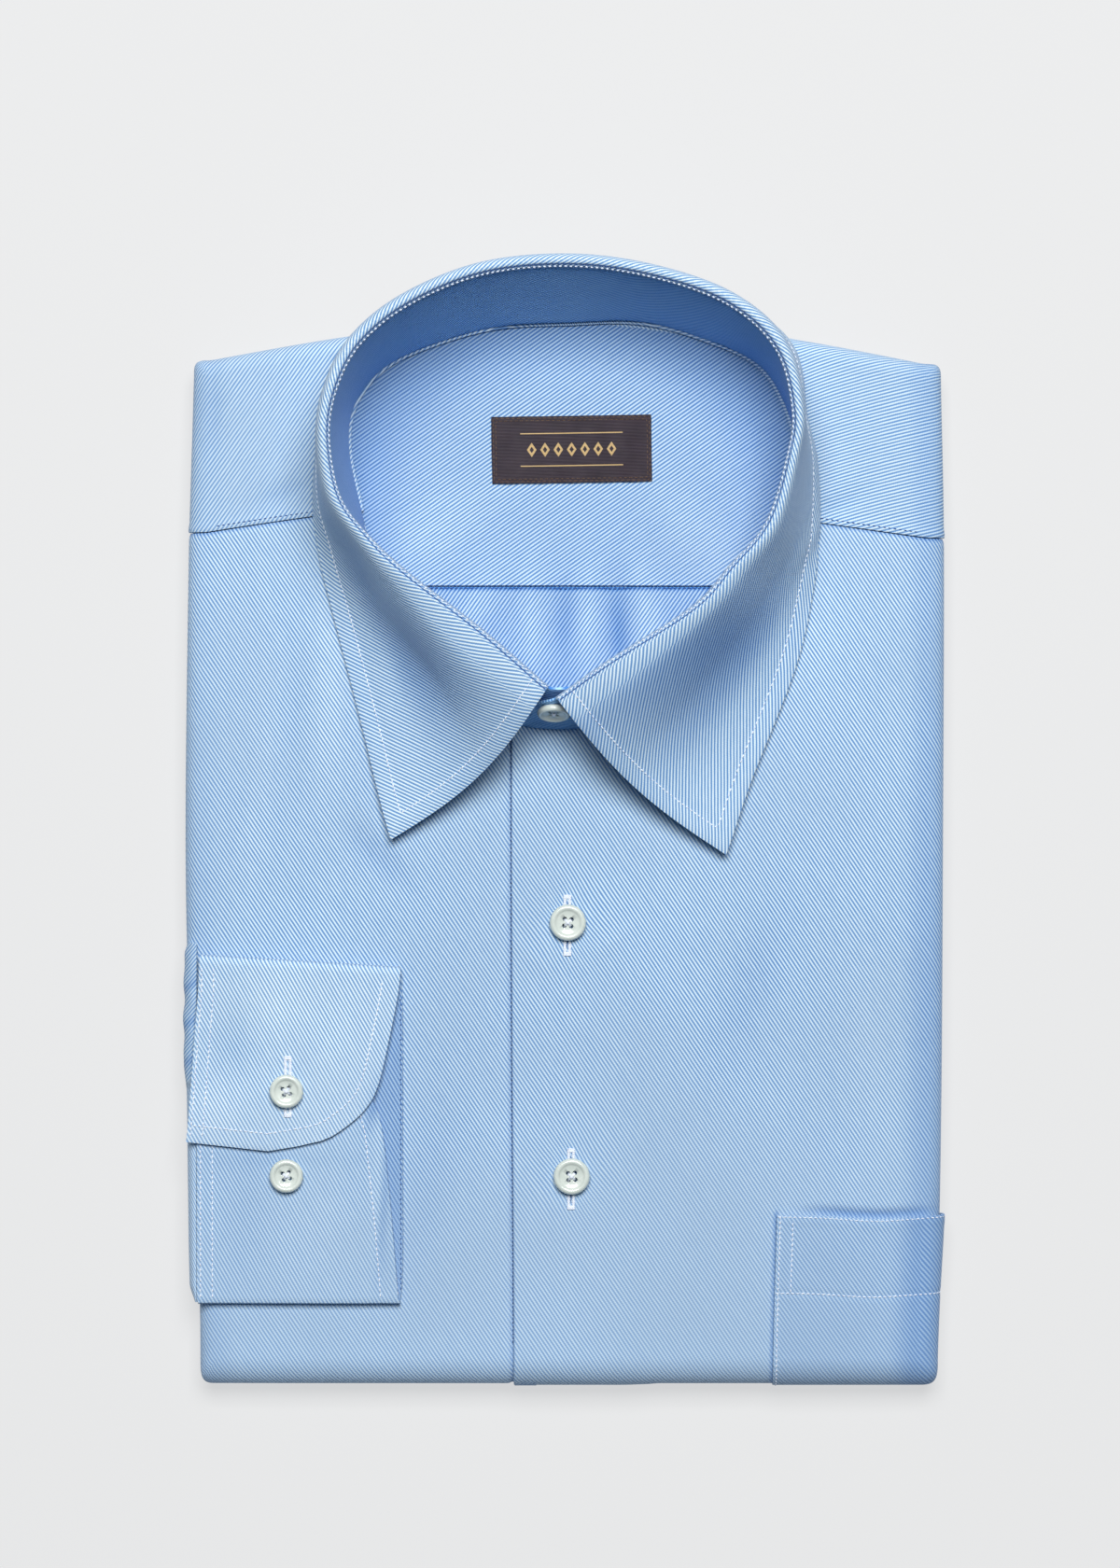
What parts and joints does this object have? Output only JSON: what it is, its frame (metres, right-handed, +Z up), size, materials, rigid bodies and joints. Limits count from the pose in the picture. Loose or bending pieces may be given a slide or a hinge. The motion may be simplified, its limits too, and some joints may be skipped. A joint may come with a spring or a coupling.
{
  "type": "folded long-sleeved dress shirt",
  "caption": "Folded men's dress shirt in light blue twill, buttoned, with a raised point collar, a chest pocket and one barrel cuff laid over the front.",
  "frame": {"origin": "on the table, under the middle of the folded body", "axes": "+Y from the tail fold to the collar, +X to the side with the chest pocket, +Z up from the table"},
  "size_m": [0.2464, 0.362, 0.0594],
  "materials": {
    "shirting": "light blue cotton twill, matt",
    "label": "woven satin, nearly black",
    "button": "pearly, polished"
  },
  "bodies": {
    "root": {"folded_layers": "shirting", "back": "shirting", "inner_yoke": "shirting", "right_front": "shirting", "left_front": "shirting", "yoke": "shirting", "collar_band": "shirting", "collar_leaf": "shirting", "sleeve": "shirting", "cuff": "shirting", "pocket": "shirting", "label": "label", "front_button_1": "button", "front_button_2": "button", "cuff_button_flap": "button", "cuff_button_spare": "button", "neck_button": "button"}
  },
  "joints": []
}
